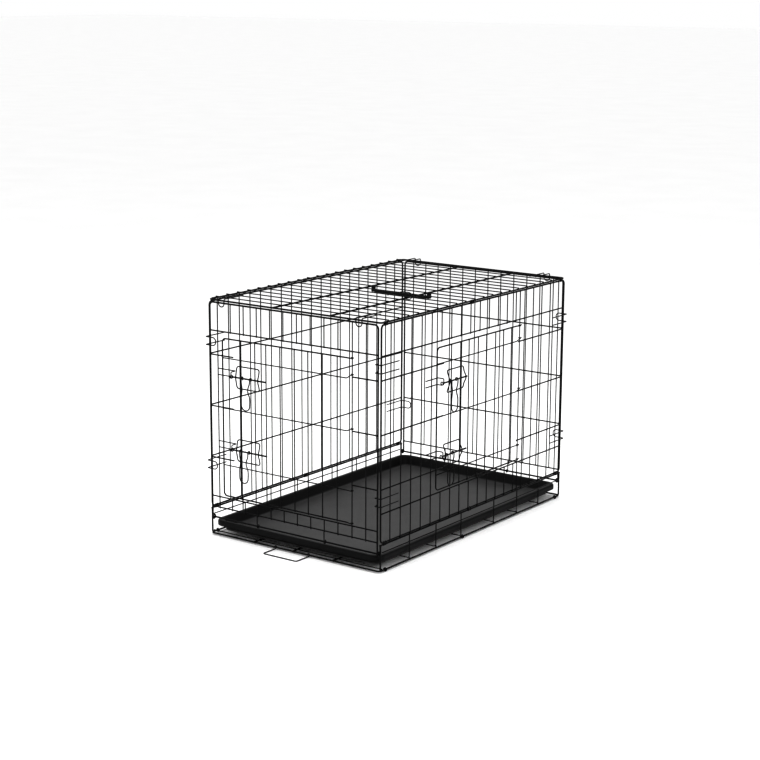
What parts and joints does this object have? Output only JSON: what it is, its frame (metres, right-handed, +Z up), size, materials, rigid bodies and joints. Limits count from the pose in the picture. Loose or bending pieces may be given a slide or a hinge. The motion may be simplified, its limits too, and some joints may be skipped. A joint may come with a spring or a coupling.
{
  "type": "wire dog crate",
  "caption": "Folding wire pet crate with hinged front and side doors, slide-bolt latches, a pull-out floor tray and a carrying grip on top.",
  "frame": {"origin": "on the ground, under the middle of the floor frame", "axes": "+Z up, +Y from the front short end (the end with the door) to the back, +X towards the long side that has the second door"},
  "size_m": [0.5003, 0.7971, 0.5522],
  "materials": {
    "frame_wire": "black satin powder coat over steel wire",
    "fill_wire": "black satin powder coat over thin steel wire",
    "latch_wire": "black powder coat on bent spring wire",
    "bolt_wire": "black powder coat, lightly rubbed by sliding",
    "clip_metal": "black coated crimped sheet clips",
    "tray_plastic": "moulded black plastic with a fine grain",
    "grip_plastic": "moulded black plastic"
  },
  "bodies": {
    "floor": {"floor_frame": "frame_wire", "floor_cross_wires": "fill_wire", "floor_sills": "frame_wire", "floor_foot_loops": "latch_wire", "sill_clips": "clip_metal"},
    "right_side": {"right_frame": "frame_wire", "right_grid": "fill_wire", "right_door_post": "fill_wire", "right_strikes": "latch_wire", "right_top_clips": "clip_metal", "right_end_hooks": "latch_wire"},
    "left_side": {"left_frame": "frame_wire", "left_grid": "fill_wire", "left_sill_clips": "clip_metal", "left_end_hooks": "latch_wire"},
    "top": {"top_frame": "frame_wire", "top_runners": "frame_wire", "top_grid": "fill_wire", "top_left_clips": "clip_metal", "top_end_hooks": "latch_wire", "carry_grip": "grip_plastic"},
    "front_panel": {"front_frame": "frame_wire", "front_grid": "fill_wire", "front_door_post": "fill_wire", "front_strikes": "latch_wire", "front_pivot_hooks": "latch_wire"},
    "back_panel": {"back_frame": "frame_wire", "back_grid": "fill_wire", "back_pivot_hooks": "latch_wire"},
    "front_door": {"front_door_frame": "frame_wire", "front_door_grid": "fill_wire", "front_door_knuckles": "latch_wire", "front_door_guides": "latch_wire"},
    "side_door": {"side_door_frame": "frame_wire", "side_door_grid": "fill_wire", "side_door_knuckles": "latch_wire", "side_door_guides": "latch_wire"},
    "front_upper_bolt": {"front_upper_bolt": "bolt_wire"},
    "front_lower_bolt": {"front_lower_bolt": "bolt_wire"},
    "side_upper_bolt": {"side_upper_bolt": "bolt_wire"},
    "side_lower_bolt": {"side_lower_bolt": "bolt_wire"},
    "front_upper_handle": {"front_upper_handle": "latch_wire"},
    "front_lower_handle": {"front_lower_handle": "latch_wire"},
    "side_upper_handle": {"side_upper_handle": "latch_wire"},
    "side_lower_handle": {"side_lower_handle": "latch_wire"},
    "tray": {"floor_tray": "tray_plastic"},
    "pan_stop": {"pan_stop": "latch_wire"}
  },
  "joints": [
    {"name": "crate_fold", "type": "hinge", "parent": "floor", "child": "right_side", "pos_m": [0.238, 0, 0.0666], "axis": [0, -1, 0], "range_deg": [0, 87], "deforming": ["right_end_hooks", "top_end_hooks"]},
    {"name": "left_side_fold", "type": "hinge", "parent": "floor", "child": "left_side", "pos_m": [-0.238, 0, 0.0622], "axis": [0, -1, 0], "range_deg": [0, 87]},
    {"name": "top_fold", "type": "hinge", "parent": "right_side", "child": "top", "pos_m": [0.238, 0, 0.5454], "axis": [0, -1, 0], "range_deg": [-87, 0]},
    {"name": "front_panel_fold", "type": "hinge", "parent": "floor", "child": "front_panel", "pos_m": [0, -0.37, 0.0424], "axis": [-1, 0, 0], "range_deg": [0, 88.3]},
    {"name": "back_panel_fold", "type": "hinge", "parent": "floor", "child": "back_panel", "pos_m": [0, 0.37, 0.0424], "axis": [1, 0, 0], "range_deg": [0, 90]},
    {"name": "front_door_swing", "type": "hinge", "parent": "front_panel", "child": "front_door", "pos_m": [0.1675, -0.3773, 0.28], "axis": [0, 0, -1], "range_deg": [-165, 0]},
    {"name": "side_door_swing", "type": "hinge", "parent": "right_side", "child": "side_door", "pos_m": [0.24115, 0.1685, 0.3], "axis": [0, 0, -1], "range_deg": [-165, 0]},
    {"name": "front_upper_bolt_slide", "type": "slide", "parent": "front_door", "child": "front_upper_bolt", "axis": [-1, 0, 0], "range_m": [-0.01, 0.005]},
    {"name": "front_upper_handle_swing", "type": "hinge", "parent": "front_upper_bolt", "child": "front_upper_handle", "pos_m": [-0.118, -0.387, 0.3814], "axis": [1, 0, 0], "range_deg": [-120, 0]},
    {"name": "front_lower_bolt_slide", "type": "slide", "parent": "front_door", "child": "front_lower_bolt", "axis": [-1, 0, 0], "range_m": [-0.01, 0.005]},
    {"name": "front_lower_handle_swing", "type": "hinge", "parent": "front_lower_bolt", "child": "front_lower_handle", "pos_m": [-0.1248, -0.387, 0.2144], "axis": [1, 0, 0], "range_deg": [-120, 0]},
    {"name": "side_upper_bolt_slide", "type": "slide", "parent": "side_door", "child": "side_upper_bolt", "axis": [0, -1, 0], "range_m": [-0.01, 0.005]},
    {"name": "side_upper_handle_swing", "type": "hinge", "parent": "side_upper_bolt", "child": "side_upper_handle", "pos_m": [0.25085, -0.1173, 0.382], "axis": [0, 1, 0], "range_deg": [-120, 0]},
    {"name": "side_lower_bolt_slide", "type": "slide", "parent": "side_door", "child": "side_lower_bolt", "axis": [0, -1, 0], "range_m": [-0.01, 0.005]},
    {"name": "side_lower_handle_swing", "type": "hinge", "parent": "side_lower_bolt", "child": "side_lower_handle", "pos_m": [0.25085, -0.1288, 0.2164], "axis": [0, 1, 0], "range_deg": [-120, 0]},
    {"name": "tray_slide", "type": "slide", "parent": "floor", "child": "tray", "axis": [0, 1, 0], "range_m": [-0.72, 0]},
    {"name": "pan_stop_swing", "type": "hinge", "parent": "floor", "child": "pan_stop", "pos_m": [0, -0.374, 0.0047], "axis": [-1, 0, 0], "range_deg": [0, 90]}
  ],
  "couplings": [
    {"joint": "left_side_fold", "follows": "crate_fold", "ratio": 1},
    {"joint": "top_fold", "follows": "crate_fold", "ratio": -1}
  ]
}
